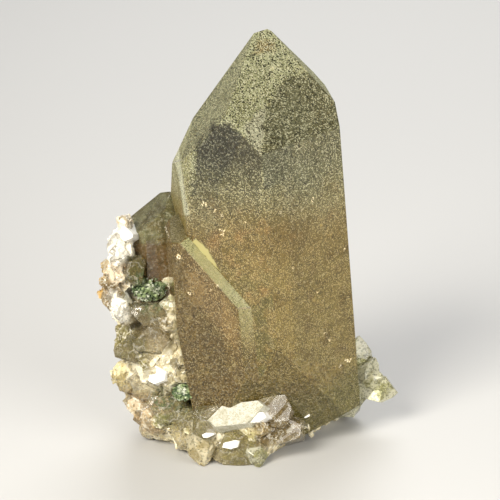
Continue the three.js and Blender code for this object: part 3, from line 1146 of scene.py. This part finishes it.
def blockFinish(name, look):
    f = Finish("quartz_" + name)
    f.addPatterns(look)
    body = look["body"] if "body" in look else crustColours(f, crustLook, crustLayers)
    body = f.paint(body, look["layers"])
    if name == "curved":
        f.addPatterns(curvedBreak)
        ripples = f.fields["rings"] = curvedRings(f, curvedBreak)
        body = f.paint(body, curvedBreak["layers"])
    else:
        ripples = f.noise(*blockRipples)
    f.set({
        "Base Color": body, "Roughness": look["rough"], "Transmission Weight": look["clear"],
        "IOR": quartzIor, "Specular IOR Level": look["gloss"],
    })
    f.bump(ripples, look["bump"], rippleDepth)
    return f


def addBlocks(settings):
    for name, look in blockLooks.items():
        chips = settings["chips"] if name in ("clear", "curved") else 0
        shapes = [blockShape(*block, chips) for kind, *block in settings["faces"] if kind == name]
        flattenFoot(addPiece("blocks_" + name, gather(shapes), blockFinish(name, look)))


addBlocks(blocks)
print("blocks made")


# Small clear crystals

sideTop = ((-75, 36, 21.6), (60, 40, 23.4), (0, 62, 15.1))  # faces of the side crystal's blunt top
smallCrystals = {  # places and sizes in mm; tilt leans the crystal toward an azimuth, turn is round its axis
    "side": {
        "foot": (-20.4, -4.6, 17), "radius": 5.4, "top": sideTop, "toward": -60, "tilt": 2, "turn": 12,
    },
    "footTip": {
        "foot": (-13, -17, 6.4), "radius": 2.3, "length": 8.6, "toward": 12, "tilt": 138, "turn": 10,
    },
    "footTipRight": {
        "foot": (-3, -18, 4.6), "radius": 2.1, "length": 7, "toward": 15, "tilt": 130, "turn": 30,
    },
    "rightTall": {"foot": (14.2, -1, 2), "radius": 3.2, "length": 16, "toward": 78, "tilt": 12, "turn": 10},
    "rightMiddle": {"foot": (14, -2, 4), "radius": 3, "length": 12, "toward": 75, "tilt": 34, "turn": 25},
    "rightFront": {
        "foot": (12.5, -4, 4), "radius": 2.8, "length": 8.5, "toward": 50, "tilt": 42, "turn": 35,
    },
    "rightTip": {
        "foot": (14, -3, 9.5), "radius": 2.5, "length": 11.2, "toward": 80, "tilt": 102, "turn": 0,
    },
    "rightSmallTip": {
        "foot": (15, -3, 9.5), "radius": 1.7, "length": 7.6, "toward": 70, "tilt": 82, "turn": 20,
    },
    "rightLow": {"foot": (10.5, -3, 5), "radius": 3, "length": 8.5, "toward": 60, "tilt": 74, "turn": 15},
    "backStub": {"foot": (-9, 7, 0), "radius": 4.4, "length": 15, "toward": -160, "tilt": 18, "turn": 20},
    "backLeft": {"foot": (-15, 3, 2), "radius": 3.6, "length": 17, "toward": -120, "tilt": 24, "turn": 50},
    "backSmall": {"foot": (4, 8, 0), "radius": 3.4, "length": 11, "toward": 170, "tilt": 26, "turn": 0},
}
smallShape = {
    "sidePolar": 89,
    "sideReach": (1, 0.12, 2.3),  # share of the radius, as uneven takes it
    "nearPoint": 0.94,  # distance of three faces of the point as a share of that of the other three
    "bevel": 0.1,  # mm
}
crystalTints = {"side": "side", "footTip": "yellow"}  # every other crystal has the pale tint
clearTints = {  # brown is the height below which the tint is brown, mm
    "side": {"deep": (0.20, 0.17, 0.07), "light": (0.34, 0.33, 0.17), "brown": (40, 38.5)},
    "pale": {"deep": (0.44, 0.42, 0.18), "light": (0.97, 0.94, 0.70)},
    "yellow": {"deep": (0.60, 0.50, 0.26), "light": (0.95, 0.86, 0.60)},
}
clearLook = {
    "clouds": {"clouds": (2.5, 3)},
    "grains": {"speck": 0.3},
    "light": (0.38, 0.58),
    "brown": (0.26, 0.16, 0.065),
    "waver": (2, 4),
    "layers": (
        {"colour": (0.10, 0.10, 0.045), "share": 0.5, "ranges": {"speck": (0.34, 0.22)}},
        {"colour": (0.90, 0.88, 0.70), "share": 0.3, "ranges": {"speck": (0.78, 0.9)}},
    ),
    "roughness": 0.08,
    "transmission": 0.62,
    "ripples": (0.6, 3),
    "bump": (0.15, 0.03),
}


def smallFaces(crystal, shape):
    faces = [(0, 180, 0)]
    for side in range(6):
        azimuth = crystal["turn"] + side * 60
        reach = uneven(shape["sideReach"], side, crystal["turn"])
        faces.append((azimuth, shape["sidePolar"], crystal["radius"] * reach))
        if "length" in crystal:
            share = shape["nearPoint"] if side % 2 else 1
            point = crystal["length"] * math.cos(math.radians(pointPolar)) / share
            faces.append((azimuth, pointPolar, point))
    return faces + list(crystal.get("top", ()))


def smallMatrix(crystal):
    axis = direction(crystal["toward"] + 90, 90)
    turn = Matrix.Rotation(math.radians(crystal["tilt"]), 4, axis)
    return Matrix.Translation(Vector(crystal["foot"]) * mm) @ turn


def clearFinish(name, tints, look):
    f = Finish("clear_" + name)
    f.addPatterns(look)
    body = f.mix(tints["deep"], tints["light"], f.step(f.fields["clouds"], *look["light"]))
    if "brown" in tints:
        body = f.mix(body, look["brown"], f.step(f.wavering("Z", *look["waver"]), *tints["brown"]))
    body = f.paint(body, look["layers"])
    f.set({
        "Base Color": body, "Roughness": look["roughness"], "Transmission Weight": look["transmission"],
        "IOR": quartzIor,
    })
    f.bump(f.noise(*look["ripples"]), *look["bump"])
    return f


def addSmallCrystals(settings):
    finishes = {name: clearFinish(name, tints, clearLook) for name, tints in clearTints.items()}
    for name, crystal in settings.items():
        shape = cutCrystal(smallFaces(crystal, smallShape), smallMatrix(crystal), smallShape["bevel"])
        flattenFoot(addPiece("crystal_" + name, shape, finishes[crystalTints.get(name, "pale")]))


addSmallCrystals(smallCrystals)
print("small crystals made")


# Chlorite

chlorite = {
    "chlorite_left_pocket": {"at": (-22, -9.2, 30), "half": (3.7, 3.2, 2.7), "grains": 1900, "seed": 3},
    "chlorite_lower_pocket": {
        "at": (-15.8, -16.4, 12.2), "half": (2.3, 2.4, 1.6), "grains": 800, "seed": 5,
    },
}
chloriteGrain = {
    "reach": (0.3, 0.88),  # share of the lump's half sizes
    "size": (0.14, 0.34),  # mm
    "flat": 0.5,
}
chloriteLook = {
    "body": (0.05, 0.09, 0.035),
    "clouds": {"greenClouds": (1.1, 3), "paleClouds": (1.3, 3)},
    "layers": (
        {"colour": (0.28, 0.35, 0.16), "ranges": {"greenClouds": (0.38, 0.6)}},
        {"colour": (0.66, 0.68, 0.54), "share": 0.85, "ranges": {"paleClouds": (0.5, 0.62)}},
    ),
    "roughness": 0.8,
    "ripples": (0.2, 2),
    "bump": (0.4, 0.05),
}


def chloriteFinish(look):
    f = Finish("chlorite")
    f.addPatterns(look)
    f.set({"Base Color": f.paint(look["body"], look["layers"]), "Roughness": look["roughness"]})
    f.bump(f.noise(*look["ripples"]), *look["bump"])
    return f


def addChlorite(settings, shape, finish):
    for name, pocket in settings.items():
        draw = random.Random(pocket["seed"])
        grain = bmesh.new()
        bmesh.ops.create_icosphere(grain, subdivisions=1, radius=1)
        matrices = []
        for _ in range(pocket["grains"]):
            away = direction(draw.uniform(0, 360), math.degrees(math.acos(draw.uniform(-1, 1))))
            reach = draw.uniform(*shape["reach"])
            place = Vector(pocket["at"]) + Vector(a * h for a, h in zip(away, pocket["half"])) * reach
            size = draw.uniform(*shape["size"])
            flat = sizeMatrix(size, size, shape["flat"] * size)
            matrices.append(Matrix.Translation(place * mm) @ anyTurn(draw) @ flat)
        addPiece("grains_" + name, joinedCopies(grain, matrices), finish, name)


addChlorite(chlorite, chloriteGrain, chloriteFinish(chloriteLook))
print("chlorite made")
